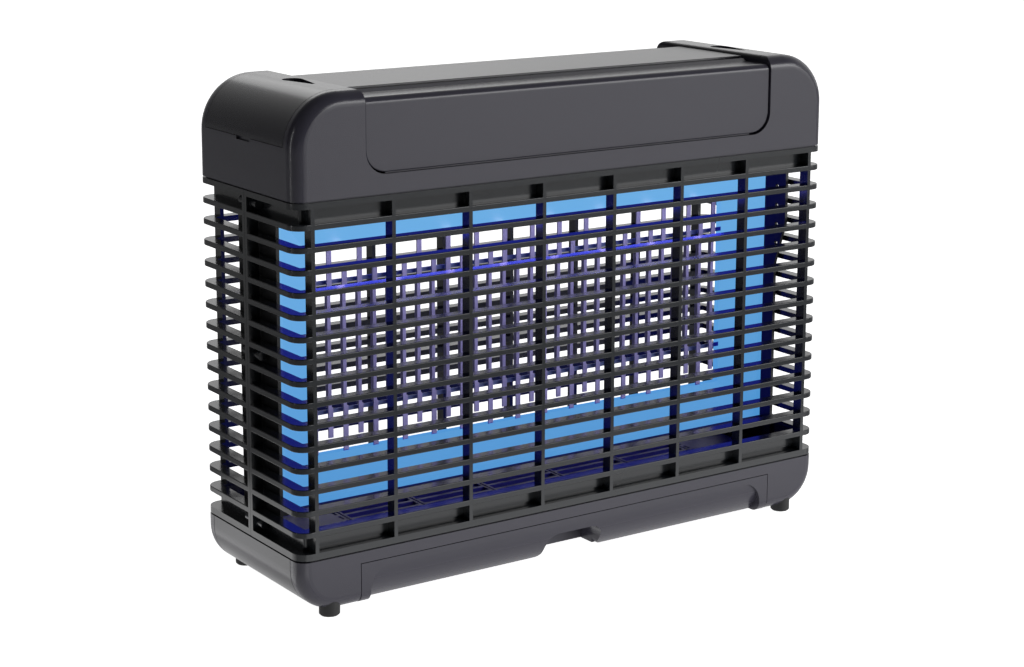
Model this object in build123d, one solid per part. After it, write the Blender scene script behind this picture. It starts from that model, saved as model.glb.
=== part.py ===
from build123d import *
import os

# Electric bug zapper: a louvred guard around a lit frame and a high voltage grid,
# with an electronics housing on top and a base with a pull-out collecting tray.
# Units are millimetres. Origin: centre of the footprint on the floor.
# X runs along the width, -Y is the front, +Z is up.

# ---- overall sizes ----
WIDTH = 340.0
DEPTH = 103.0
HALF_W = WIDTH / 2
HALF_D = DEPTH / 2
FOOT_HEIGHT = 3.5
BASE_SEAM = 31.5
HOUSING_SEAM = 213.5
CAP_TOP = 265.5
SHADOW_GAP = 0.8
GAP_DEPTH = 1.6
WALL = 2.5
CLEARANCE = 0.3

# ---- top housing ----
CAP_ARC = 28.0
HOUSING_EDGE = 7.5
SADDLE_HALF = 129.6
SADDLE_LOW = HOUSING_SEAM + 9.7
SADDLE_CORNER = 12.0
SADDLE_SETBACK = 1.1
SADDLE_GAP = 0.5
SADDLE_LOW_GAP = 0.9
SADDLE_EDGE = 0.5
CAP_LIP_R = 2.5
LEDGE_TOP = CAP_TOP - 4.0
PLATE_TOP = CAP_TOP - 1.4
RIM_TOP = PLATE_TOP - 1.3
PLATE_HALF_D = 27.5
PLATE_THICK = 2.0
PLATE_SHEET = 0.5
PLATE_OVERHANG = 2.5
RIM_FOOT = 32.0
SKIN = 1.8
COVER_HALF_D = 41.3
COVER_SEAM = HOUSING_SEAM + 25.7
NOTCH_LENGTH = 14.0
NOTCH_HEIGHT = 1.6
HANGER_X = 139.0
HANGER_HEAD_R = 5.0
HANGER_HEAD_Y = 4.5
HANGER_TIP_Y = -17.0

# ---- guard ----
GUARD_CORNER = 7.5
SLAT_COUNT = 15
SLAT_PITCH = 11.09
SLAT_THICK = 3.0
SLAT_DEPTH = 6.5
SLAT_EDGE = 0.4
FIRST_SLAT_TOP = BASE_SEAM + 170.7
FLANGE_THICK = 3.4
FLANGE_DEPTH = 7.7
RIB_WIDTH = 2.1
RIB_XS = (22.75, 68.35, 113.9, 159.7)
SIDE_RIB = 2.4
BLIND_THICK = 1.5
BLIND_SLOT = 1.4
PIN_R = 2.4
PIN_LENGTH = 6.5
PIN_ROWS = (0, 7, 15)

# ---- base ----
BASE_ARC = 22.0
BASE_EDGE = 7.0
CAP_SEAM_Y = 42.0
TRAY_HALF = 134.5
TRAY_TOP = BASE_SEAM - 6.4
TRAY_GAP = 0.4
RAIL_WIDTH = 2.2
RAIL_TOP = FOOT_HEIGHT + 4.2
TRAY_WALL = 2.2
SCOOP_HALF = 129.0
SCOOP_TOP = BASE_SEAM - 10.0
SCOOP_STEP = 0.9
SCOOP_DEPTH = 9.5
SCOOP_CORNER = 12.0
GRIP_HALF = 18.7
GRIP_TOP = BASE_SEAM - 14.3
GRIP_CORNER = 8.0
GRIP_FLARE = 3.0
GRIP_BACK = -29.0
FOOT_X = 150.0
FOOT_Y = 45.5
FOOT_R = 5.4
PAD_TOP = FOOT_HEIGHT + 4.5
GRILLE_TOP = BASE_SEAM + 0.3
GRILLE_THICK = 2.4
GRILLE_BAR = 2.4
CROSS_BAR = 3.6
CROSS_GROOVE = 1.2
GRILLE_PITCH = 8.0

# ---- lit frame ----
LAMP_MID = BASE_SEAM + 92.8
WINDOW_HALF_W = 137.1
WINDOW_HALF_H = 55.2
BEVEL_HALF_W = 160.3
BEVEL_HALF_H = 76.8
BEVEL_FRONT = 16.0
APEX_Y = 2.2
REFLECTOR_THICK = 1.6
BRACKET_THICK = 1.8
BRACKET_REAR = 22.0
BRACKET_RIGHT_FRONT = 23.0
BRACKET_LEFT_FRONT = 17.5
BRACKET_FLARE = 8.5
FLARE_LOW = BASE_SEAM + 109.0
FLARE_HIGH = BASE_SEAM + 135.0
VENT_R = 1.2
VENT_Y = -24.0
VENT_TOP = BASE_SEAM + 155.0
VENT_COUNT = 4
LED_COUNT = 8
LED_PITCH = 33.7

# ---- high voltage grid ----
TOOTH_PITCH = 9.1
TOOTH_COUNT = 30
TOOTH_WIDTH = 2.9
TOOTH_WEB = 2.0
TOOTH_SHEET = 0.8
TOOTH_FRONT = -1.6
TOOTH_BACK = 1.1
UPPER_SPACER = BASE_SEAM + 128.0
LOWER_SPACER = BASE_SEAM + 59.0
UPPER_TIP = BASE_SEAM + 137.8
LOWER_TIP = BASE_SEAM + 45.5
BUS_HEIGHT = 3.0
UPPER_BUS = BASE_SEAM + 156.0
LOWER_BUS = BASE_SEAM + 27.0
LEAD_X = 150.0
LEAD_R = 1.2

# ---- electronics ----
PARTITION_THICK = 2.4
BOARD_LOW = HOUSING_SEAM + 10.5
BOARD_SIZE = (170.0, 64.0, 1.6)
STANDOFF_X = 78.0
STANDOFF_Y = 26.0
GLAND_X = 150.0
GLAND_Z = HOUSING_SEAM + 17.0
GLAND_BORE_R = 3.4
GLAND_BODY_R = 5.2
GLAND_FLANGE_R = 7.5
GLAND_SEAT_DEPTH = 2.6
GLAND_BOSS_R = 10.0
GLAND_BOSS_IN = 7.5


def block(x0, x1, y0, y1, z0, z1):
    """A box between two corners."""
    middle = Pos((x0 + x1) / 2, (y0 + y1) / 2, (z0 + z1) / 2)
    return middle * Box(x1 - x0, y1 - y0, z1 - z0)


def peg(x, y, z0, z1, radius):
    """An upright cylinder."""
    return Pos(x, y, (z0 + z1) / 2) * Cylinder(radius, z1 - z0)


def prism_y(face, y0, y1):
    """Extrude a face drawn in X and Z from one depth to another."""
    placed = Plane.XZ.offset(-y0) * face
    return extrude(placed, amount=y1 - y0, dir=(0, 1, 0))


def prism_x(face, x0, x1):
    """Extrude a face drawn in Y and Z from one side to another."""
    placed = Plane.YZ.offset(x0) * face
    return extrude(placed, amount=x1 - x0, dir=(1, 0, 0))


def rounded_panel(half_width, low, high, radius, round_low=False, round_high=False):
    """A rectangle in X and Z with its lower or upper corners rounded."""
    face = Pos(0, (low + high) / 2) * Rectangle(2 * half_width, high - low)
    rows = face.vertices().group_by(Axis.Y)
    if round_high:
        face = fillet(rows[-1], radius)
        rows = face.vertices().group_by(Axis.Y)
    if round_low:
        face = fillet(rows[0], radius)
    return face


def footprint(inset, low, high):
    """The body's plan outline, set in from the outside and made a solid."""
    radius = max(GUARD_CORNER - inset, 1.0)
    face = RectangleRounded(WIDTH - 2 * inset, DEPTH - 2 * inset, radius)
    return extrude(Plane.XY.offset(low) * face, amount=high - low)


def ring(inset_out, inset_in, low, high):
    """A band that follows the plan outline between two insets."""
    return footprint(inset_out, low, high) - footprint(inset_in, low - 1, high + 1)


def soften_ends(solid, seam, radius):
    """Round the front and rear rims of a body, except along its seam."""
    rims = [
        edge
        for edge in solid.edges()
        if abs(abs(edge.center().Y) - HALF_D) < 0.01 and abs(edge.center().Z - seam) > 0.01
    ]
    return fillet(rims, radius)


def mirrored(solid):
    """The same piece on the other end of the object."""
    return mirror(solid, about=Plane.YZ)


def four(make, x, y):
    """The same small piece at the four corners of a rectangle."""
    return [make(sx * x, sy * y) for sx in (-1, 1) for sy in (-1, 1)]


# ---- top housing ----


def cap_outline(inset=0.0):
    """The housing seen from the front: flat sides and large round shoulders."""
    return rounded_panel(
        HALF_W - inset, HOUSING_SEAM - 1, CAP_TOP - inset, CAP_ARC - inset, round_high=True
    )


def teardrop(low, high, grow=0.0):
    """A keyhole that is round at the rear and runs to a point at the front."""
    head = Pos(0, HANGER_HEAD_Y) * Circle(HANGER_HEAD_R + grow)
    tail = Polygon(
        (-HANGER_HEAD_R - grow, HANGER_HEAD_Y),
        (-0.6 - grow, HANGER_TIP_Y - grow),
        (0.6 + grow, HANGER_TIP_Y - grow),
        (HANGER_HEAD_R + grow, HANGER_HEAD_Y),
        align=None,
    )
    shape = Plane.XY.offset(low) * (head + tail)
    return extrude(shape, amount=high - low)


def cover_zone(inset, half_depth, inner_x, seam):
    """The part of a shoulder that a side cover takes up, on the right end."""
    skin = prism_y(cap_outline() - cap_outline(inset), -half_depth, half_depth)
    return skin & block(inner_x, HALF_W + 1, -HALF_D, HALF_D, seam, CAP_TOP + 1)


def cap_lip_cutter():
    """Rounds off the inner top edge of the right shoulder, above the saddle."""
    radius = CAP_LIP_R
    low = CAP_TOP - radius
    square = Pos(SADDLE_HALF + radius / 2 - 1, low + radius) * Rectangle(radius + 2, 2 * radius)
    bead = Pos(SADDLE_HALF + radius, low) * Circle(radius)
    keep_out = block(SADDLE_HALF + radius, HALF_W, -HALF_D, HALF_D, low - 1, CAP_TOP + 5)
    return prism_y(square - bead, -HALF_D - 1, HALF_D + 1) - keep_out


def make_top_housing():
    outer = prism_y(
        rounded_panel(HALF_W, HOUSING_SEAM, CAP_TOP, CAP_ARC, round_high=True), -HALF_D, HALF_D
    )
    body = soften_ends(outer, HOUSING_SEAM, HOUSING_EDGE)
    inner_y = HALF_D - WALL
    cheek = SADDLE_HALF + WALL
    pocket = rounded_panel(
        SADDLE_HALF, SADDLE_LOW, CAP_TOP + 5, SADDLE_CORNER, round_low=True
    )
    body -= prism_y(pocket, -HALF_D - 1, HALF_D + 1)
    body -= block(-SADDLE_HALF, SADDLE_HALF, -inner_y, inner_y, HOUSING_SEAM - 1, CAP_TOP + 1)
    cavity = prism_y(cap_outline(SKIN + WALL), -inner_y, inner_y)
    wire_way = block(SADDLE_HALF - 1, cheek + 1, -12, 12, HOUSING_SEAM - 1, HOUSING_SEAM + 12)
    body -= footprint(WALL, HOUSING_SEAM - 1, HOUSING_SEAM + PARTITION_THICK + 0.1)
    for side in (-1, 1):
        recess = cover_zone(SKIN, COVER_HALF_D, SADDLE_HALF - 1, COVER_SEAM)
        room = cavity & block(cheek, HALF_W, -HALF_D, HALF_D, HOUSING_SEAM - 1, CAP_TOP)
        hole = Pos(HANGER_X, 0, 0) * teardrop(CAP_TOP - 20, CAP_TOP + 1)
        notch = block(
            HALF_W - 1.4, HALF_W + 1, -NOTCH_LENGTH / 2, NOTCH_LENGTH / 2,
            COVER_SEAM - NOTCH_HEIGHT, COVER_SEAM + 0.1,
        )
        for cutter in (recess, room, hole, notch, wire_way, cap_lip_cutter()):
            body -= cutter if side > 0 else mirrored(cutter)
    lip = ring(GAP_DEPTH, WALL, HOUSING_SEAM - SHADOW_GAP, HOUSING_SEAM)
    body += lip
    body += rear_disc(GLAND_BOSS_R, HALF_D - GLAND_BOSS_IN, HALF_D - 1)
    body -= rear_disc(GLAND_BODY_R + 0.1, HALF_D - GLAND_BOSS_IN - 1, HALF_D + 1)
    return body - rear_disc(GLAND_FLANGE_R + 0.2, HALF_D - GLAND_SEAT_DEPTH, HALF_D + 1)


def make_side_cover():
    """The right side cover; it lies flush in the housing's shoulder."""
    cover = cover_zone(
        SKIN - 0.1, COVER_HALF_D - CLEARANCE, SADDLE_HALF, COVER_SEAM + CLEARANCE
    )
    cover -= Pos(HANGER_X, 0, 0) * teardrop(CAP_TOP - 20, CAP_TOP + 1, 0.3)
    return cover - cap_lip_cutter()


def make_top_cover():
    """A saddle over the middle of the housing, with a raised tray for the plate."""
    front = HALF_D - SADDLE_SETBACK
    round_r = 3.6
    seat_y = PLATE_HALF_D - PLATE_OVERHANG + 0.6
    outline = Polygon(
        (-front, SADDLE_LOW - 1),
        (-front, LEDGE_TOP),
        (-RIM_FOOT, LEDGE_TOP),
        (-PLATE_HALF_D - 1.4, RIM_TOP),
        (-seat_y, RIM_TOP),
        (-seat_y, PLATE_TOP - PLATE_THICK),
        (seat_y, PLATE_TOP - PLATE_THICK),
        (seat_y, RIM_TOP),
        (PLATE_HALF_D + 1.4, RIM_TOP),
        (RIM_FOOT, LEDGE_TOP),
        (front, LEDGE_TOP),
        (front, SADDLE_LOW - 1),
        align=None,
    )
    corners = [v for v in outline.vertices() if abs(abs(v.X) - front) < 0.01 and v.Y > LEDGE_TOP - 1]
    outline = fillet(corners, round_r)
    half = SADDLE_HALF - SADDLE_GAP
    low = SADDLE_LOW + SADDLE_LOW_GAP
    saddle = prism_x(outline, -half, half)
    face = rounded_panel(half, low, CAP_TOP + 5, SADDLE_CORNER - SADDLE_GAP, round_low=True)
    saddle &= prism_y(face, -HALF_D, HALF_D)
    rim = [
        edge
        for edge in saddle.edges()
        if abs(abs(edge.center().Y) - front) < 0.01 and edge.center().Z < LEDGE_TOP - round_r - 0.1
    ]
    saddle = fillet(rim, SADDLE_EDGE)
    room_y = front - WALL
    saddle -= block(-HALF_W, HALF_W, -room_y, room_y, SADDLE_LOW - 5, LEDGE_TOP - WALL)
    skirt_out = HALF_D - WALL - CLEARANCE
    skirt_half = half - SADDLE_CORNER
    for side in (-1, 1):
        low_y = min(side * skirt_out, side * (room_y - 1.0))
        high_y = max(side * skirt_out, side * (room_y - 1.0))
        saddle += block(-skirt_half, skirt_half, low_y, high_y, SADDLE_LOW - 6, SADDLE_LOW + 6)
    return saddle


def make_top_plate():
    """A plate whose thin edge hangs over its seat and leaves a dark line below."""
    half = SADDLE_HALF - 1.6
    under = PLATE_TOP - PLATE_SHEET
    foot_y = PLATE_HALF_D - PLATE_OVERHANG
    sheet = block(-half, half, -PLATE_HALF_D, PLATE_HALF_D, under, PLATE_TOP)
    sheet = chamfer(sheet.faces().sort_by(Axis.Z)[-1].edges(), 0.2)
    return sheet + block(-half, half, -foot_y, foot_y, PLATE_TOP - PLATE_THICK, under)


def make_partition_plate():
    inset = WALL + CLEARANCE
    low = HOUSING_SEAM
    plate = footprint(inset, low, low + PARTITION_THICK)
    for x, z_r in ((LEAD_X, LEAD_R), (-LEAD_X, LEAD_R)):
        plate -= peg(x, 0, low - 1, low + 10, z_r + 0.6)
    for hole in four(lambda x, y: peg(x, y, low - 1, low + 10, 1.7), 120.0, 36.0):
        plate -= hole
    return plate


def make_hanger_bars():
    """A steel bar below each keyhole, for a chain hook."""
    cheek = SADDLE_HALF + WALL
    length = 156.0 - cheek
    bar = Pos(cheek + length / 2, -2, CAP_TOP - 11) * Rot(Y=90) * Cylinder(2.0, length)
    return [bar, mirrored(bar)]


def rear_disc(radius, y0, y1):
    """A cylinder along Y at the cord's place in the rear wall."""
    return Pos(GLAND_X, (y0 + y1) / 2, GLAND_Z) * Rot(X=90) * Cylinder(radius, y1 - y0)


def make_cord_gland():
    """A strain relief: a flange in the rear wall, a barrel and a nut inside."""
    seat = HALF_D - GLAND_SEAT_DEPTH
    boss = HALF_D - GLAND_BOSS_IN
    flange = rear_disc(GLAND_FLANGE_R, seat, HALF_D - 0.3)
    flange = chamfer(flange.faces().sort_by(Axis.Y)[-1].edges(), 0.7)
    barrel = rear_disc(GLAND_BODY_R, boss - 4.5, seat + 0.5)
    nut = extrude(RegularPolygon(GLAND_FLANGE_R, 6), amount=2.6)
    nut = Pos(GLAND_X, boss - 0.1, GLAND_Z) * Rot(X=90) * nut
    gland = flange + barrel + nut
    return gland - rear_disc(GLAND_BORE_R, boss - 10, HALF_D + 1)


# ---- guard ----


def make_slat(top):
    """One louvre slat: a band around the whole body with softened outer edges."""
    slat = footprint(0, top - SLAT_THICK, top)
    rims = slat.faces().sort_by(Axis.Z)[0].edges() + slat.faces().sort_by(Axis.Z)[-1].edges()
    slat = fillet(rims, SLAT_EDGE)
    return slat - footprint(SLAT_DEPTH, top - 2 * SLAT_THICK, top + SLAT_THICK)


def make_full_guard():
    low = BASE_SEAM + SHADOW_GAP
    high = HOUSING_SEAM - SHADOW_GAP
    last_slat_low = FIRST_SLAT_TOP - (SLAT_COUNT - 1) * SLAT_PITCH - SLAT_THICK
    pieces = [ring(0, FLANGE_DEPTH, low, low + FLANGE_THICK)]
    pieces.append(ring(0, FLANGE_DEPTH, high - FLANGE_THICK + 0.4, high))
    pieces.append(ring(GAP_DEPTH, WALL, BASE_SEAM, low))
    blind_out = SLAT_DEPTH - 0.3
    blind_in = blind_out + BLIND_THICK
    pieces.append(ring(blind_out, blind_in, FIRST_SLAT_TOP - SLAT_THICK / 2, high - 1))
    slot_top = low + FLANGE_THICK + BLIND_SLOT
    pieces.append(ring(blind_out, blind_in, slot_top, last_slat_low + SLAT_THICK / 2))
    for side in (-1, 1):
        x_out = side * (HALF_W - blind_out)
        x_in = side * (HALF_W - blind_in)
        y_out = side * (HALF_D - blind_in + 0.3)
        y_in = side * (HALF_D - blind_in - BLIND_THICK)
        end_y = HALF_D - blind_in
        end_x = HALF_W - blind_in
        pieces.append(block(min(x_out, x_in), max(x_out, x_in), -end_y, end_y, low + 1, slot_top + 1))
        pieces.append(block(-end_x, end_x, min(y_out, y_in), max(y_out, y_in), low + 1, slot_top + 3))
    first = make_slat(FIRST_SLAT_TOP)
    for index in range(SLAT_COUNT):
        pieces.append(Pos(0, 0, -index * SLAT_PITCH) * first)
    for x in RIB_XS:
        for side in (-1, 1):
            for face in (-1, 1):
                y_out = face * HALF_D
                y_in = face * (HALF_D - SLAT_DEPTH)
                pieces.append(
                    block(
                        side * x - RIB_WIDTH / 2, side * x + RIB_WIDTH / 2,
                        min(y_out, y_in), max(y_out, y_in), low, high,
                    )
                )
    for side in (-1, 1):
        x_out = side * HALF_W
        x_in = side * (HALF_W - SLAT_DEPTH)
        pieces.append(
            block(min(x_out, x_in), max(x_out, x_in), -SIDE_RIB, SIDE_RIB, low, high)
        )
    return pieces


def make_locating_pins(side_y):
    """Three pins beside the middle rib on each end, in the louvre gaps."""
    pins = []
    for side in (-1, 1):
        for row in PIN_ROWS:
            gap_mid = FIRST_SLAT_TOP - row * SLAT_PITCH + (SLAT_PITCH - SLAT_THICK) / 2
            y_mid = side_y * (SIDE_RIB + PIN_LENGTH / 2 - 0.5)
            spot = Pos(side * (HALF_W - SLAT_DEPTH / 2 - 0.6), y_mid, gap_mid)
            pins.append(spot * Rot(X=90) * Cylinder(PIN_R, PIN_LENGTH + 1))
    return pins


def make_guards():
    """The guard splits along the middle of its ends into a front and a rear half."""
    pieces = make_full_guard()
    halves = []
    for side in (-1, 1):
        y_low = -HALF_D - 1 if side < 0 else 0.1
        y_high = -0.1 if side < 0 else HALF_D + 1
        keep = block(-HALF_W - 1, HALF_W + 1, y_low, y_high, BASE_SEAM - 1, HOUSING_SEAM + 1)
        parts = [piece & keep for piece in pieces] + make_locating_pins(side)
        whole = Part() + parts
        halves.append(whole)
    return halves


# ---- base ----


def base_outline(inset=0.0, high=BASE_SEAM):
    """The base seen from the front: flat sides and rounded lower corners."""
    return rounded_panel(
        HALF_W - inset, FOOT_HEIGHT + inset, high, BASE_ARC - inset, round_low=True
    )


def base_cap_zone(inset, half_depth, inner_x):
    """The skin of a lower corner that an end cap takes up, on the right end."""
    high = BASE_SEAM - 0.1
    skin = prism_y(base_outline(0, high) - base_outline(inset, high + 5), -half_depth, half_depth)
    return skin & block(inner_x, HALF_W + 1, -HALF_D, HALF_D, FOOT_HEIGHT - 1, high)


def screw_boss(x, y):
    return peg(x, y, FOOT_HEIGHT + SKIN, BASE_SEAM - 3, 4.6)


def screw_bore(x, y):
    seat = peg(x, y, FOOT_HEIGHT - 1, FOOT_HEIGHT + 9, 3.4)
    return seat + peg(x, y, FOOT_HEIGHT, BASE_SEAM + 1, 1.7)


def foot_socket(x, y):
    seat = peg(x, y, 0, PAD_TOP + 0.1, FOOT_R + 0.2)
    return seat + peg(x, y, 0, PAD_TOP + 2.5, FOOT_R - 2.4)


def make_base_shell():
    top = BASE_SEAM - 0.1
    inner_y = HALF_D - WALL
    bay = TRAY_HALF + TRAY_GAP
    body = soften_ends(prism_y(base_outline(0, top), -HALF_D, HALF_D), top, BASE_EDGE)
    pocket_low = GRILLE_TOP - GRILLE_THICK
    body -= footprint(WALL, pocket_low, BASE_SEAM + 1)
    body -= block(-bay, bay, -HALF_D - 1, inner_y, FOOT_HEIGHT - 1, TRAY_TOP + TRAY_GAP)
    ledge_y = inner_y - 3.5
    body -= block(-bay, bay, -ledge_y, ledge_y, TRAY_TOP, BASE_SEAM)
    room = prism_y(base_outline(SKIN + WALL, BASE_SEAM), -inner_y + 3.5, inner_y - 3.5)
    for side in (-1, 1):
        hollow = room & block(bay + WALL, HALF_W - 7, -HALF_D, HALF_D, 0, BASE_SEAM)
        recess = base_cap_zone(SKIN, CAP_SEAM_Y, bay + 6)
        for cutter in (hollow, recess):
            body -= cutter if side > 0 else mirrored(cutter)
        rail_in = bay - RAIL_WIDTH
        rail = block(rail_in, bay + 0.5, -33.0, inner_y + 0.5, FOOT_HEIGHT + 0.8, RAIL_TOP)
        body += rail if side > 0 else mirrored(rail)
    for boss in four(screw_boss, 143.0, 22.0):
        body += boss
    for bore in four(screw_bore, 143.0, 22.0):
        body -= bore
    for socket in four(foot_socket, FOOT_X, FOOT_Y):
        body -= socket
    return body


def make_base_cap():
    """The right end cap of the base, flush in its recess."""
    cap = base_cap_zone(SKIN - 0.1, CAP_SEAM_Y - 0.45, TRAY_HALF + TRAY_GAP + 6.45)
    for bore in four(lambda x, y: peg(x, y, 0, FOOT_HEIGHT + 9, 3.6), 143.0, 22.0):
        cap -= bore
    for foot in four(lambda x, y: peg(x, y, -1, FOOT_HEIGHT + 4, FOOT_R + 0.3), FOOT_X, FOOT_Y):
        cap -= foot
    return cap


def make_base_grille():
    """The floor grille that lets insects drop through into the tray."""
    low = GRILLE_TOP - GRILLE_THICK
    plate = footprint(WALL + CLEARANCE, low, GRILLE_TOP)
    bay_xs = [-119.0] + [side * x for side in (-1, 1) for x in RIB_XS[:3]] + [119.0]
    bay_xs = sorted(bay_xs)
    rows = 9
    for index in range(rows):
        y = (index - (rows - 1) / 2) * GRILLE_PITCH
        slot_low = y - (GRILLE_PITCH - GRILLE_BAR) / 2
        slot_high = y + (GRILLE_PITCH - GRILLE_BAR) / 2
        for left, right in zip(bay_xs[:-1], bay_xs[1:]):
            x0 = left + CROSS_BAR / 2
            x1 = right - CROSS_BAR / 2
            plate -= block(x0, x1, slot_low, slot_high, low - 1, GRILLE_TOP + 1)
    reach = (rows * GRILLE_PITCH - GRILLE_BAR) / 2
    for x in bay_xs[1:-1]:
        plate -= block(
            x - CROSS_GROOVE / 2, x + CROSS_GROOVE / 2, -reach, reach, GRILLE_TOP - 1.0, GRILLE_TOP + 1
        )
    for bore in four(lambda x, y: peg(x, y, low - 1, GRILLE_TOP + 1, 1.7), 143.0, 22.0):
        plate -= bore
    return plate


def scoop_cutter():
    """The rounded-under area of the tray front, between its two end blocks."""
    drop = SCOOP_TOP - FOOT_HEIGHT
    sweep = SCOOP_DEPTH - SCOOP_STEP
    radius = (drop ** 2 + sweep ** 2) / (2 * sweep)
    solid_part = Pos(-HALF_D + SCOOP_STEP + radius, SCOOP_TOP) * Circle(radius)
    window = Pos(-HALF_D + 8, SCOOP_TOP - 25) * Rectangle(30, 50)
    profile = window - solid_part
    outline = rounded_panel(SCOOP_HALF, FOOT_HEIGHT - 20, SCOOP_TOP + 0.5, SCOOP_CORNER, round_high=True)
    return prism_x(profile, -HALF_W, HALF_W) & prism_y(outline, -HALF_D - 20, 0)


def make_collecting_tray():
    rear = HALF_D - WALL - CLEARANCE
    floor_low = RAIL_TOP + 0.1
    body_half = TRAY_HALF
    front_back = -HALF_D + 15.0
    tray = block(-body_half, body_half, -HALF_D + 1, rear, floor_low, TRAY_TOP - 0.3)
    panel = block(-TRAY_HALF, TRAY_HALF, -HALF_D, front_back, FOOT_HEIGHT, TRAY_TOP)
    low_edges = [
        e for e in panel.edges().filter_by(Axis.X)
        if abs(e.center().Z - FOOT_HEIGHT) < 0.01 and e.center().Y < -HALF_D + 0.1
    ]
    panel = fillet(low_edges, BASE_EDGE - 0.5)
    tray += panel
    wall = TRAY_WALL
    tray -= block(
        -body_half + wall, body_half - wall, -HALF_D + 6.0, rear - wall, floor_low + wall, TRAY_TOP + 1
    )
    grip_wall = 2.4
    housing = block(
        -GRIP_HALF - grip_wall, GRIP_HALF + grip_wall,
        -HALF_D + 4.5, GRIP_BACK + grip_wall, FOOT_HEIGHT, GRIP_TOP + grip_wall,
    )
    tray += housing
    tray -= scoop_cutter()
    grip = rounded_panel(GRIP_HALF, FOOT_HEIGHT - 20, GRIP_TOP, GRIP_CORNER, round_high=True)
    tray -= prism_y(grip, -HALF_D - 5, GRIP_BACK)
    for side in (-1, 1):
        x = side * (GRIP_HALF + GRIP_FLARE)
        high = FOOT_HEIGHT + GRIP_FLARE
        square = Pos(side * (GRIP_HALF + GRIP_FLARE / 2), high - 2 * GRIP_FLARE) * Rectangle(
            GRIP_FLARE, 4 * GRIP_FLARE
        )
        corner = square - Pos(x, high) * Circle(GRIP_FLARE)
        tray -= prism_y(corner, -HALF_D - 5, -HALF_D + 12)
    return tray


def make_feet():
    feet = []
    for x in (-FOOT_X, FOOT_X):
        for y in (-FOOT_Y, FOOT_Y):
            pad = peg(x, y, 0, PAD_TOP, FOOT_R)
            pad = chamfer(pad.faces().sort_by(Axis.Z)[0].edges(), 0.8)
            stem = peg(x, y, 1, PAD_TOP + 2.3, FOOT_R - 2.6)
            feet.append(pad + stem)
    return feet


def make_screw(x, y, head_low, length, head_r=2.9, shank_r=1.5):
    """A pan-head screw with a cross recess, driven from below."""
    head_high = head_low + 2.2
    head = peg(x, y, head_low, head_high, head_r)
    head = fillet(head.faces().sort_by(Axis.Z)[0].edges(), 0.8)
    screw = head + peg(x, y, head_high - 0.1, head_low + length, shank_r)
    for width, depth in ((3.4, 0.8), (0.8, 3.4)):
        screw -= block(
            x - width / 2, x + width / 2, y - depth / 2, y + depth / 2, head_low - 1, head_low + 1.2
        )
    return screw


def flip_screw(x, y, seat, length):
    """The same screw driven from above, with its head on a seat."""
    screw = make_screw(0, 0, 0, length, 2.7, 1.4)
    return Pos(x, y, seat + 2.2) * Rot(X=180) * screw


# ---- lit frame ----


def make_end_bracket(front, flare, vents):
    """An end bracket for the right end; it stands on the floor grille and holds the rails."""
    x0 = BEVEL_HALF_W
    x1 = BEVEL_HALF_W + BRACKET_THICK
    low = GRILLE_TOP + 0.1
    high = HOUSING_SEAM - 0.1
    outline = Polygon(
        (-front, low),
        (BRACKET_REAR, low),
        (BRACKET_REAR, high),
        (-front - flare, high),
        (-front - flare, FLARE_HIGH),
        (-front, FLARE_LOW),
        align=None,
    )
    bracket = prism_x(outline, x0, x1)
    bracket += block(x0 - 9, x1, -BEVEL_FRONT, BEVEL_FRONT, low, low + 2.0)
    head = block(x0 - 7, x1, -BEVEL_FRONT, BEVEL_FRONT, high - 2.0, high)
    bracket += head - peg(LEAD_X, 0, HOUSING_SEAM - 5, HOUSING_SEAM + 1, LEAD_R + 0.6)
    for index in range(vents):
        z = VENT_TOP - index * SLAT_PITCH
        bracket -= Pos(x0, VENT_Y, z) * Rot(Y=90) * Cylinder(VENT_R, 10)
    return bracket


def make_lamp_rail(top):
    """A rail across the lit frame, above or below its bevels."""
    if top:
        z0 = LAMP_MID + BEVEL_HALF_H
        z1 = z0 + 2.4
    else:
        z1 = LAMP_MID - BEVEL_HALF_H
        z0 = z1 - 2.4
    rail = block(-BEVEL_HALF_W, BEVEL_HALF_W, -BEVEL_FRONT, BEVEL_FRONT, z0, z1)
    for x in (-LEAD_X, LEAD_X):
        rail -= peg(x, 0, z0 - 1, z1 + 1, LEAD_R + 0.6)
    return rail


def funnel(shift):
    """A solid frustum between the frame's outer edge and its window edge."""
    outer = Plane.XZ.offset(BEVEL_FRONT - shift)
    inner = Plane.XZ.offset(-shift)
    spread = BEVEL_FRONT / (BEVEL_FRONT - APEX_Y)
    half_w = BEVEL_HALF_W - (BEVEL_HALF_W - WINDOW_HALF_W) * spread
    half_h = BEVEL_HALF_H - (BEVEL_HALF_H - WINDOW_HALF_H) * spread
    sections = [
        outer * Rectangle(2 * BEVEL_HALF_W, 2 * BEVEL_HALF_H),
        inner * Rectangle(2 * half_w, 2 * half_h),
    ]
    return loft(sections)


def make_front_reflector():
    """The front bevelled reflector, a shallow square funnel around the window."""
    slab = block(
        -BEVEL_HALF_W + 0.2, BEVEL_HALF_W - 0.2, -BEVEL_FRONT, -APEX_Y,
        -BEVEL_HALF_H + 0.2, BEVEL_HALF_H - 0.2,
    )
    back = REFLECTOR_THICK * 1.25
    sheet = slab & (funnel(back) - funnel(0))
    return Pos(0, 0, LAMP_MID) * sheet


def make_led_strips():
    """The two narrow lamp boards under the window's upper edge."""
    top = LAMP_MID + WINDOW_HALF_H
    half = WINDOW_HALF_W - 1.5
    front = block(-half, half, -APEX_Y - 2.2, -APEX_Y, top - 1.4, top - 0.2)
    return [front, mirror(front, about=Plane.XZ)]


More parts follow.
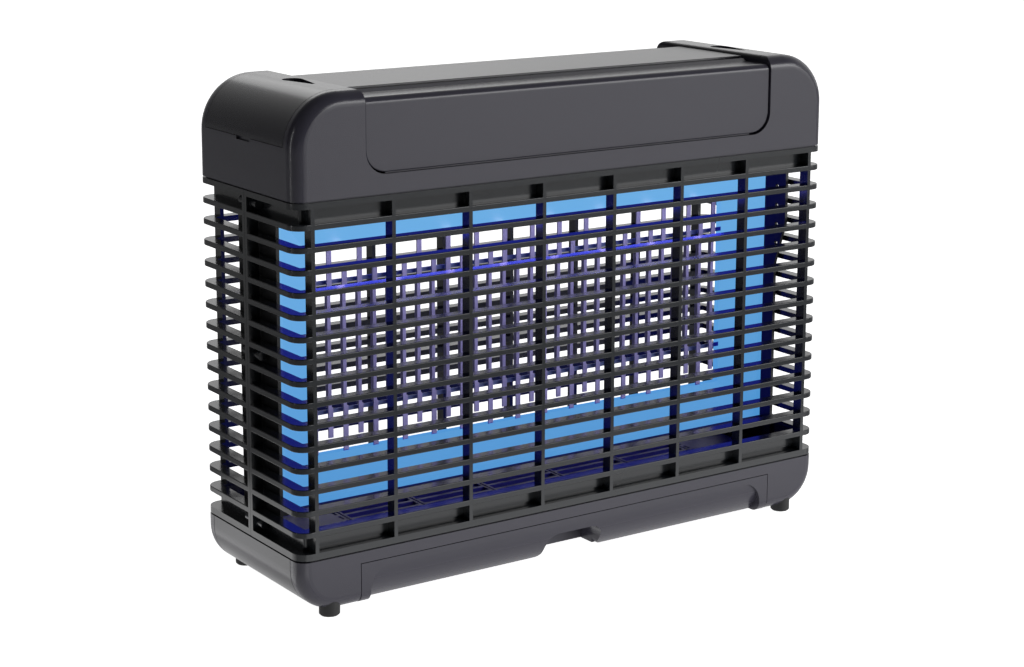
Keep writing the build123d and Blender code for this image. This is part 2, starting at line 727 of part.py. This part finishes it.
def make_led_chips():
    top = LAMP_MID + WINDOW_HALF_H
    chips = []
    for index in range(LED_COUNT):
        x = (index - (LED_COUNT - 1) / 2) * LED_PITCH
        chip = block(x - 1.9, x + 1.9, -APEX_Y - 3.1, -APEX_Y - 2.2, top - 1.5, top - 0.3)
        chips.append(chip)
        chips.append(mirror(chip, about=Plane.XZ))
    return chips


# ---- high voltage grid ----


def make_tooth(x, low, high):
    """A stamped tooth: flat tabs at its ends and an angle section between the spacers."""
    half = TOOTH_WIDTH / 2
    y0 = TOOTH_FRONT
    y1 = TOOTH_FRONT + TOOTH_SHEET
    tab = block(x - half, x + half, y0, y1, low, high)
    fold_low = LOWER_SPACER + 2.5
    fold_high = UPPER_SPACER - 2.5
    trim_right = block(x - half + TOOTH_WEB, x + half + 1, y0 - 1, y1 + 1, fold_low, fold_high)
    flange = block(x - half, x - half + TOOTH_SHEET, y0, TOOTH_BACK, fold_low, fold_high)
    return tab - trim_right + flange


def make_comb(upper):
    """One plate of the grid: a bus bar with every second tooth."""
    first = 0 if not upper else 1
    y0 = TOOTH_FRONT
    y1 = TOOTH_FRONT + TOOTH_SHEET
    if upper:
        low, high, bus = LOWER_TIP, UPPER_BUS + BUS_HEIGHT, UPPER_BUS
        bus_bar = block(-124.0, LEAD_X - LEAD_R - 0.1, y0, y1, bus, bus + BUS_HEIGHT)
    else:
        low, high, bus = LOWER_BUS, UPPER_TIP, LOWER_BUS
        bus_bar = block(-LEAD_X + LEAD_R + 0.1, 124.0, y0, y1, bus, bus + BUS_HEIGHT)
    comb = Part() + bus_bar
    teeth = []
    for index in range(first, TOOTH_COUNT, 2):
        x = (index - (TOOTH_COUNT - 1) / 2) * TOOTH_PITCH
        teeth.append(make_tooth(x, low, high))
    return comb + teeth


def make_grid_spacers():
    """The two insulating bars that hold the teeth apart."""
    bars = []
    for z in (UPPER_SPACER, LOWER_SPACER):
        bars.append(block(-WINDOW_HALF_W - 4, WINDOW_HALF_W + 4, TOOTH_BACK + 0.1, 2.1, z - 1.1, z + 1.1))
    return bars


def make_grid_insulators():
    """Ceramic blocks between the bus bars and the lamp rails."""
    blocks = []
    rail_low = LAMP_MID - BEVEL_HALF_H
    rail_high = LAMP_MID + BEVEL_HALF_H
    for x in (-90.0, 90.0):
        upper = block(x - 5, x + 5, -4, 4, UPPER_BUS + BUS_HEIGHT, rail_high)
        lower = block(x - 5, x + 5, -4, 4, rail_low, LOWER_BUS)
        blocks.append(chamfer(upper.edges().filter_by(Axis.Z), 1.0))
        blocks.append(chamfer(lower.edges().filter_by(Axis.Z), 1.0))
    return blocks


def make_hv_leads():
    """Straight insulated leads from the board down to each bus bar."""
    high = BOARD_LOW - 3.0
    upper = peg(LEAD_X, 0, UPPER_BUS - 1, high, LEAD_R)
    lower = peg(-LEAD_X, 0, LOWER_BUS - 1, high, LEAD_R)
    return [upper, lower]


# ---- electronics ----


def make_driver_board():
    length, depth, thick = BOARD_SIZE
    board = block(-length / 2, length / 2, -depth / 2, depth / 2, BOARD_LOW, BOARD_LOW + thick)
    for hole in four(lambda x, y: peg(x, y, BOARD_LOW - 1, BOARD_LOW + 5, 1.6), STANDOFF_X, STANDOFF_Y):
        board -= hole
    return board


def make_standoffs():
    low = HOUSING_SEAM + PARTITION_THICK
    posts = four(lambda x, y: peg(x, y, low, BOARD_LOW, 3.2), STANDOFF_X, STANDOFF_Y)
    bores = four(lambda x, y: peg(x, y, low + 1, BOARD_LOW + 1, 1.5), STANDOFF_X, STANDOFF_Y)
    return [post - bore for post, bore in zip(posts, bores)]


def make_transformer():
    top = BOARD_LOW + BOARD_SIZE[2]
    core = block(-48, -16, -15, 15, top, top + 24)
    window = block(-41, -23, -16, 16, top + 5, top + 19)
    coil = block(-44, -20, -11, 11, top + 3, top + 21)
    core = chamfer(core.edges().filter_by(Axis.Z), 1.0)
    return (core - window) + fillet(coil.edges().filter_by(Axis.X), 3.0)


def make_capacitors():
    top = BOARD_LOW + BOARD_SIZE[2]
    cans = []
    for x, y, radius, height in ((6, -16, 6.3, 20), (6, 2, 6.3, 20), (6, 19, 5.0, 16), (26, -18, 5.0, 16)):
        can = peg(x, y, top, top + height, radius)
        cans.append(fillet(can.faces().sort_by(Axis.Z)[-1].edges(), 0.8))
    return cans


def make_film_capacitors():
    top = BOARD_LOW + BOARD_SIZE[2]
    bodies = []
    for x in (-74, -64, -54):
        body = block(x - 3, x + 3, -14, 4, top, top + 15)
        bodies.append(fillet(body.edges(), 1.0))
    return bodies


def make_terminal_block():
    top = BOARD_LOW + BOARD_SIZE[2]
    body = block(62, 76, -12, 12, top, top + 12)
    body = chamfer(body.edges().filter_by(Axis.Y).group_by(Axis.Z)[-1], 2.0)
    for y in (-8, 0, 8):
        body -= Pos(76, y, top + 5) * Rot(Y=90) * Cylinder(2.2, 12)
        body -= peg(69, y, top + 8, top + 13, 1.8)
    return body


def export_all():
    os.makedirs("parts", exist_ok=True)
    front_guard, rear_guard = make_guards()
    side_cover = make_side_cover()
    base_cap = make_base_cap()
    right_bracket = make_end_bracket(BRACKET_RIGHT_FRONT, BRACKET_FLARE, VENT_COUNT)
    left_bracket = mirrored(make_end_bracket(BRACKET_LEFT_FRONT, 0.5, 0))
    front_reflector = make_front_reflector()
    screw_low = FOOT_HEIGHT + 6.7
    board_top = BOARD_LOW + BOARD_SIZE[2]
    plate_top = HOUSING_SEAM + PARTITION_THICK
    nodes = {
        "top_housing": make_top_housing(),
        "top_cover": make_top_cover(),
        "top_plate": make_top_plate(),
        "right_side_cover": side_cover,
        "left_side_cover": mirrored(side_cover),
        "partition_plate": make_partition_plate(),
        "hanger_bars": make_hanger_bars(),
        "cord_gland": make_cord_gland(),
        "front_guard": front_guard,
        "rear_guard": rear_guard,
        "base_shell": make_base_shell(),
        "right_base_cap": base_cap,
        "left_base_cap": mirrored(base_cap),
        "base_grille": make_base_grille(),
        "collecting_tray": make_collecting_tray(),
        "feet": make_feet(),
        "right_end_bracket": right_bracket,
        "left_end_bracket": left_bracket,
        "lamp_top_rail": make_lamp_rail(True),
        "lamp_bottom_rail": make_lamp_rail(False),
        "front_reflector": front_reflector,
        "rear_reflector": mirror(front_reflector, about=Plane.XZ),
        "led_strips": make_led_strips(),
        "led_chips": make_led_chips(),
        "upper_comb": make_comb(True),
        "lower_comb": make_comb(False),
        "grid_spacers": make_grid_spacers(),
        "grid_insulators": make_grid_insulators(),
        "hv_leads": make_hv_leads(),
        "driver_board": make_driver_board(),
        "board_standoffs": make_standoffs(),
        "hv_transformer": make_transformer(),
        "electrolytic_capacitors": make_capacitors(),
        "film_capacitors": make_film_capacitors(),
        "terminal_block": make_terminal_block(),
        "base_screws": four(lambda x, y: make_screw(x, y, screw_low, 20.0), 143.0, 22.0),
        "board_screws": four(
            lambda x, y: flip_screw(x, y, board_top, 7.0), STANDOFF_X, STANDOFF_Y
        ),
        "partition_screws": four(lambda x, y: flip_screw(x, y, plate_top, 8.0), 120.0, 36.0),
    }
    for name, shape in nodes.items():
        solids = shape if isinstance(shape, list) else [shape]
        flat = [solid for item in solids for solid in item.solids()]
        whole = flat[0] if len(flat) == 1 else Compound(children=flat)
        whole.label = name
        export_step(whole, os.path.join("parts", name + ".step"))


export_all()
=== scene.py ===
import math

import bpy
from mathutils import Matrix, Vector


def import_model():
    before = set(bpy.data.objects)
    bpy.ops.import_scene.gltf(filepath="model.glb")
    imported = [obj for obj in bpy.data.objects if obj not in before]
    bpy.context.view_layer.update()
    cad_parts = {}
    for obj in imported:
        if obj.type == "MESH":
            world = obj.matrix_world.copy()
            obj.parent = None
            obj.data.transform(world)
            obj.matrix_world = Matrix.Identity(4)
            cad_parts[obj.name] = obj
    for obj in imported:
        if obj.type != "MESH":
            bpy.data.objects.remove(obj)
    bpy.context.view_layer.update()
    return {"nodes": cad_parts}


# Electric bug zapper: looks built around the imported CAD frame.
# Metres, row frame: +X right, -Y front, +Z up, floor at zero.

# ---- camera ----
CAMERA_PLACE = (-0.66343, -0.95857, 0.40183)
CAMERA_YAW = 0.59973
CAMERA_PITCH = 0.19352
CAMERA_ROLL = 0.00312
CAMERA_LENS = 76.651
CAMERA_SHIFT_X = 0.0
CAMERA_SHIFT_Y = -0.10

# ---- lit frame ----
WINDOW_TOP = 0.1795
LAMP_MID = 0.1243
LAMP_HALF = 0.0768
LAMP_OUT = 0.0062
LAMP_WIDTH = 0.27
LAMP_HEIGHT = 0.003
LAMP_POWER = 0.02

# ---- studio levels ----
BACKDROP_WAY = (0.78, 0.62, 0.0)
BACKDROP = 0.90
AMBIENT = 0.04
HORIZON_UP_TO = 0.40
ZENITH_FROM = 0.85
ZENITH = 0.25
FLOOR_SIZE = 40
FLOOR_SEEN = 1.0
FLOOR_FAR = 0.02
FLOOR_NEAR = 0.60
FLOOR_REACH = 0.16
HALF_PLAN = (0.17, 0.05, 0.0)

# Each light's name, place, target, width, height and power in watts.
SOFTBOXES = (
    ("front_box", (1.95, -2.75, 0.9), (0, 0, 0.13), 2.4, 2.0, 81.0),
    ("rear_box", (0.93, 2.46, 1.53), (0, 0, 0.13), 1.3, 0.9, 3.5),
    ("low_front", (0.05, -0.15, 0.004), (0.05, -0.15, 1.0), 0.5, 0.12, 0.19),
    ("low_left", (-0.215, 0.07, 0.004), (-0.215, 0.07, 1.0), 0.07, 0.20, 0.038),
    ("edge_strip", (-1.35, 0.10, 0.35), (-0.17, -0.05, 0.12), 0.05, 0.9, 1.2),
)

# ---- colours, linear ----
HOUSING = (0.040, 0.038, 0.053)
SMOOTH = (0.029, 0.028, 0.036)
GUARD = (0.014, 0.016, 0.019)
GLOW_LOW = (0.070, 0.283, 0.617)
GLOW_HIGH = (0.150, 0.420, 0.760)
DEEP_BLUE = (0.035, 0.055, 1.0)
GLOW_SPILL = 0.60

# ---- moulded grain ----
GRAIN_SCALE = 2600.0
GRAIN_DEPTH = 0.0001
GRAIN_ROUGHNESS = 0.52
RIM_ROUGHNESS = 0.24
FLAT_FROM = 0.96
FLAT_FULLY = 0.995


# ---- material helpers ----


def new_material(name):
    """A material with one Principled shader; returns it, its nodes, links and shader."""
    material = bpy.data.materials.new(name)
    material.use_nodes = True
    nodes = material.node_tree.nodes
    links = material.node_tree.links
    return material, nodes, links, nodes["Principled BSDF"]


def object_noise(nodes, links, scale):
    """Noise fixed to the row frame."""
    coords = nodes.new("ShaderNodeTexCoord")
    noise = nodes.new("ShaderNodeTexNoise")
    noise.inputs["Scale"].default_value = scale
    links.new(coords.outputs["Object"], noise.inputs["Vector"])
    return noise


def plain(name, color, roughness, metallic=0.0):
    material, _, _, shader = new_material(name)
    shader.inputs["Base Color"].default_value = (*color, 1)
    shader.inputs["Roughness"].default_value = roughness
    shader.inputs["Metallic"].default_value = metallic
    return material


def moulded_plastic(name, color):
    """Spark-eroded grain on the flat front and rear faces, smooth and glossier elsewhere."""
    material, nodes, links, shader = new_material(name)
    shader.inputs["Base Color"].default_value = (*color, 1)
    geometry = nodes.new("ShaderNodeNewGeometry")
    split = nodes.new("ShaderNodeSeparateXYZ")
    links.new(geometry.outputs["Normal"], split.inputs[0])
    facing = nodes.new("ShaderNodeMath")
    facing.operation = "ABSOLUTE"
    links.new(split.outputs["Y"], facing.inputs[0])
    flat = nodes.new("ShaderNodeMapRange")
    flat.inputs["From Min"].default_value = FLAT_FROM
    flat.inputs["From Max"].default_value = FLAT_FULLY
    links.new(facing.outputs[0], flat.inputs["Value"])
    rough = nodes.new("ShaderNodeMapRange")
    rough.inputs["To Min"].default_value = RIM_ROUGHNESS
    rough.inputs["To Max"].default_value = GRAIN_ROUGHNESS
    links.new(flat.outputs["Result"], rough.inputs["Value"])
    links.new(rough.outputs["Result"], shader.inputs["Roughness"])
    noise = object_noise(nodes, links, GRAIN_SCALE)
    bump = nodes.new("ShaderNodeBump")
    bump.inputs["Distance"].default_value = GRAIN_DEPTH
    links.new(flat.outputs["Result"], bump.inputs["Strength"])
    links.new(noise.outputs["Fac"], bump.inputs["Height"])
    links.new(bump.outputs["Normal"], shader.inputs["Normal"])
    return material


def glowing(name, color, strength):
    material, _, _, shader = new_material(name)
    shader.inputs["Base Color"].default_value = (0.8, 0.8, 0.8, 1)
    shader.inputs["Roughness"].default_value = 0.4
    shader.inputs["Emission Color"].default_value = (*color, 1)
    shader.inputs["Emission Strength"].default_value = strength
    return material


def lit_reflector(name):
    """A reflector that glows pale blue, brighter towards its top, and throws deep blue light."""
    material, nodes, links, shader = new_material(name)
    shader.inputs["Base Color"].default_value = (0.02, 0.04, 0.06, 1)
    shader.inputs["Roughness"].default_value = 0.45
    coords = nodes.new("ShaderNodeTexCoord")
    split = nodes.new("ShaderNodeSeparateXYZ")
    links.new(coords.outputs["Object"], split.inputs[0])
    height = nodes.new("ShaderNodeMapRange")
    height.inputs["From Min"].default_value = LAMP_MID - LAMP_HALF
    height.inputs["From Max"].default_value = LAMP_MID + LAMP_HALF
    links.new(split.outputs["Z"], height.inputs["Value"])
    ramp = nodes.new("ShaderNodeValToRGB")
    ramp.color_ramp.elements[0].color = (*GLOW_LOW, 1)
    ramp.color_ramp.elements[1].color = (*GLOW_HIGH, 1)
    links.new(height.outputs["Result"], ramp.inputs["Fac"])
    path = nodes.new("ShaderNodeLightPath")
    tint = nodes.new("ShaderNodeMix")
    tint.data_type = "RGBA"
    tint.inputs["A"].default_value = (*[GLOW_SPILL * part for part in DEEP_BLUE], 1)
    links.new(path.outputs["Is Camera Ray"], tint.inputs["Factor"])
    links.new(ramp.outputs["Color"], tint.inputs["B"])
    links.new(tint.outputs["Result"], shader.inputs["Emission Color"])
    shader.inputs["Emission Strength"].default_value = 1.0
    return material


# ---- materials ----


def make_materials():
    return {
        "housing": moulded_plastic("housing_plastic", HOUSING),
        "smooth": plain("smooth_plastic", SMOOTH, 0.22),
        "plate": plain("plate_plastic", SMOOTH, 0.27),
        "guard": plain("guard_plastic", GUARD, 0.20),
        "inner": plain("inner_plastic", (0.012, 0.012, 0.014), 0.45),
        "reflector": lit_reflector("lit_reflector"),
        "led_board": glowing("led_board", (0.25, 0.35, 1.0), 0.3),
        "led_chip": glowing("led_chip", (0.95, 0.80, 1.0), 6.0),
        # The base grille's deep blue colour is painted light: it stands in for the lamps' blue
        # spill on it.
        "lattice": plain("lattice_painted_blue_light", (0.05, 0.05, 0.55), 0.35),
        # Grey steel combs; their violet-blue tint is a painted reflection of the lamps' blue
        # light.
        "grid": plain("grid_metal", (0.26, 0.24, 0.50), 0.35, 1.0),
        "spacer": plain("spacer_plastic", (0.10, 0.14, 0.40), 0.4),
        "ceramic": plain("ceramic", (0.75, 0.73, 0.68), 0.25),
        "lead": plain("lead_insulation", (0.35, 0.02, 0.02), 0.5),
        "board": plain("circuit_board", (0.02, 0.12, 0.05), 0.45),
        "brass": plain("brass", (0.72, 0.50, 0.20), 0.3, 1.0),
        "transformer": plain("transformer_core", (0.12, 0.09, 0.07), 0.5),
        "capacitor": plain("capacitor_sleeve", (0.03, 0.04, 0.10), 0.3),
        "film": plain("film_capacitor", (0.42, 0.07, 0.03), 0.3),
        "terminal": plain("terminal_plastic", (0.03, 0.20, 0.08), 0.45),
        "steel": plain("steel", (0.58, 0.58, 0.60), 0.35, 1.0),
        "rubber": plain("foot_rubber", (0.012, 0.012, 0.013), 0.6),
        "gland": plain("gland_plastic", (0.012, 0.012, 0.012), 0.4),
    }


NODE_MATERIALS = {
    "top_housing": "housing",
    "top_cover": "housing",
    "top_plate": "plate",
    "right_side_cover": "smooth",
    "left_side_cover": "smooth",
    "partition_plate": "inner",
    "hanger_bars": "steel",
    "cord_gland": "gland",
    "front_guard": "guard",
    "rear_guard": "guard",
    "base_shell": "housing",
    "right_base_cap": "smooth",
    "left_base_cap": "smooth",
    "base_grille": "lattice",
    "collecting_tray": "housing",
    "feet": "rubber",
    "right_end_bracket": "inner",
    "left_end_bracket": "inner",
    "lamp_top_rail": "inner",
    "lamp_bottom_rail": "inner",
    "front_reflector": "reflector",
    "rear_reflector": "reflector",
    "led_strips": "led_board",
    "led_chips": "led_chip",
    "upper_comb": "grid",
    "lower_comb": "grid",
    "grid_spacers": "spacer",
    "grid_insulators": "ceramic",
    "hv_leads": "lead",
    "driver_board": "board",
    "board_standoffs": "brass",
    "hv_transformer": "transformer",
    "electrolytic_capacitors": "capacitor",
    "film_capacitors": "film",
    "terminal_block": "terminal",
    "base_screws": "steel",
    "board_screws": "steel",
    "partition_screws": "steel",
}


def dress_nodes(frame, materials):
    for node, key in NODE_MATERIALS.items():
        mesh = frame["nodes"][node].data
        mesh.materials.clear()
        mesh.materials.append(materials[key])


# ---- studio ----


def aim(place, target):
    """A world matrix at a place, with local -Z towards a target."""
    direction = Vector(target) - Vector(place)
    turn = direction.to_track_quat("-Z", "Y")
    return Matrix.Translation(place) @ turn.to_matrix().to_4x4()


def softbox(name, place, target, width, height, power, color=(1, 1, 1)):
    data = bpy.data.lights.new(name, "AREA")
    data.shape = "RECTANGLE"
    data.size = width
    data.size_y = height
    data.energy = power
    data.color = color
    light = bpy.data.objects.new(name, data)
    bpy.context.scene.collection.objects.link(light)
    light.matrix_world = aim(place, target)
    return light


def lamp_glow():
    """The lamps' own light, thrown forwards and backwards from under the window's edge."""
    for side in (-1, 1):
        place = (0, side * LAMP_OUT, WINDOW_TOP - 0.002)
        target = (0, side * 0.05, WINDOW_TOP - 0.06)
        name = f"lamp_glow_{side}"
        light = softbox(name, place, target, LAMP_WIDTH, LAMP_HEIGHT, LAMP_POWER, DEEP_BLUE)
        light.data.cycles.max_bounces = 4


def horizon_light(nodes, links):
    """Studio surroundings: brightest low down behind the object and to its right."""
    coords = nodes.new("ShaderNodeTexCoord")
    split = nodes.new("ShaderNodeSeparateXYZ")
    links.new(coords.outputs["Generated"], split.inputs[0])
    low = nodes.new("ShaderNodeMapRange")
    low.interpolation_type = "SMOOTHSTEP"
    low.inputs["From Min"].default_value = HORIZON_UP_TO
    low.inputs["From Max"].default_value = ZENITH_FROM
    low.inputs["To Min"].default_value = 1.0
    low.inputs["To Max"].default_value = ZENITH
    links.new(split.outputs["Z"], low.inputs["Value"])
    along = nodes.new("ShaderNodeVectorMath")
    along.operation = "DOT_PRODUCT"
    along.inputs[1].default_value = BACKDROP_WAY
    links.new(coords.outputs["Generated"], along.inputs[0])
    side = nodes.new("ShaderNodeMapRange")
    side.interpolation_type = "SMOOTHSTEP"
    side.inputs["From Min"].default_value = 0.0
    side.inputs["From Max"].default_value = 1.0
    side.inputs["To Min"].default_value = 0.0
    side.inputs["To Max"].default_value = BACKDROP
    links.new(along.outputs["Value"], side.inputs["Value"])
    product = nodes.new("ShaderNodeMath")
    product.operation = "MULTIPLY_ADD"
    product.inputs[2].default_value = AMBIENT
    links.new(low.outputs["Result"], product.inputs[0])
    links.new(side.outputs["Result"], product.inputs[1])
    return product.outputs[0]


def studio():
    """The world, seen as plain white but lighting as a dimmer backdrop, and the lights."""
    world = bpy.data.worlds.new("studio")
    bpy.context.scene.world = world
    world.use_nodes = True
    nodes = world.node_tree.nodes
    links = world.node_tree.links
    nodes.clear()
    output = nodes.new("ShaderNodeOutputWorld")
    seen = nodes.new("ShaderNodeBackground")
    seen.inputs["Color"].default_value = (1, 1, 1, 1)
    seen.inputs["Strength"].default_value = 1.0
    light = nodes.new("ShaderNodeBackground")
    light.inputs["Color"].default_value = (1, 1, 1, 1)
    links.new(horizon_light(nodes, links), light.inputs["Strength"])
    path = nodes.new("ShaderNodeLightPath")
    mix = nodes.new("ShaderNodeMixShader")
    links.new(path.outputs["Is Camera Ray"], mix.inputs["Fac"])
    links.new(light.outputs[0], mix.inputs[1])
    links.new(seen.outputs[0], mix.inputs[2])
    links.new(mix.outputs[0], output.inputs["Surface"])
    for box in SOFTBOXES:
        softbox(*box)


def floor():
    """A pale floor that looks white; what it throws back fades away from the object."""
    bpy.ops.mesh.primitive_plane_add(size=FLOOR_SIZE, location=(0, 0, 0))
    plane = bpy.context.object
    plane.name = "floor"
    material, nodes, links, shader = new_material("pale_floor")
    shader.inputs["Base Color"].default_value = (0.9, 0.9, 0.9, 1)
    shader.inputs["Roughness"].default_value = 1.0
    shader.inputs["Specular IOR Level"].default_value = 0.0
    shader.inputs["Emission Color"].default_value = (1, 1, 1, 1)
    coords = nodes.new("ShaderNodeTexCoord")
    size = nodes.new("ShaderNodeVectorMath")
    size.operation = "ABSOLUTE"
    links.new(coords.outputs["Object"], size.inputs[0])
    away = nodes.new("ShaderNodeVectorMath")
    away.operation = "SUBTRACT"
    away.inputs[1].default_value = HALF_PLAN
    links.new(size.outputs["Vector"], away.inputs[0])
    split = nodes.new("ShaderNodeSeparateXYZ")
    links.new(away.outputs["Vector"], split.inputs[0])
    farther = nodes.new("ShaderNodeMath")
    farther.operation = "MAXIMUM"
    links.new(split.outputs["X"], farther.inputs[0])
    links.new(split.outputs["Y"], farther.inputs[1])
    bounce = nodes.new("ShaderNodeMapRange")
    bounce.interpolation_type = "SMOOTHSTEP"
    bounce.inputs["From Max"].default_value = FLOOR_REACH
    bounce.inputs["To Min"].default_value = FLOOR_NEAR
    bounce.inputs["To Max"].default_value = FLOOR_FAR
    links.new(farther.outputs[0], bounce.inputs["Value"])
    path = nodes.new("ShaderNodeLightPath")
    seen = nodes.new("ShaderNodeMix")
    seen.inputs["B"].default_value = FLOOR_SEEN
    links.new(path.outputs["Is Camera Ray"], seen.inputs["Factor"])
    links.new(bounce.outputs["Result"], seen.inputs["A"])
    links.new(seen.outputs["Result"], shader.inputs["Emission Strength"])
    plane.data.materials.append(material)


def camera():
    """The camera at the measured place, turned by yaw, pitch and roll."""
    data = bpy.data.cameras.new("camera")
    data.sensor_width = 36.0
    data.lens = CAMERA_LENS
    data.shift_x = CAMERA_SHIFT_X
    data.shift_y = CAMERA_SHIFT_Y
    data.clip_start = 0.01
    data.clip_end = 100.0
    cam = bpy.data.objects.new("camera", data)
    bpy.context.scene.collection.objects.link(cam)
    forward = Vector(
        (
            math.sin(CAMERA_YAW) * math.cos(CAMERA_PITCH),
            math.cos(CAMERA_YAW) * math.cos(CAMERA_PITCH),
            -math.sin(CAMERA_PITCH),
        )
    )
    level = Vector((math.cos(CAMERA_YAW), -math.sin(CAMERA_YAW), 0))
    upright = level.cross(forward)
    right = math.cos(CAMERA_ROLL) * level + math.sin(CAMERA_ROLL) * upright
    up = math.cos(CAMERA_ROLL) * upright - math.sin(CAMERA_ROLL) * level
    turn = Matrix((right, up, -forward)).transposed().to_4x4()
    cam.matrix_world = Matrix.Translation(CAMERA_PLACE) @ turn
    bpy.context.scene.camera = cam


def main():
    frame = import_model()
    dress_nodes(frame, make_materials())
    lamp_glow()
    studio()
    floor()
    camera()
    bpy.context.scene.view_settings.view_transform = "Standard"


main()
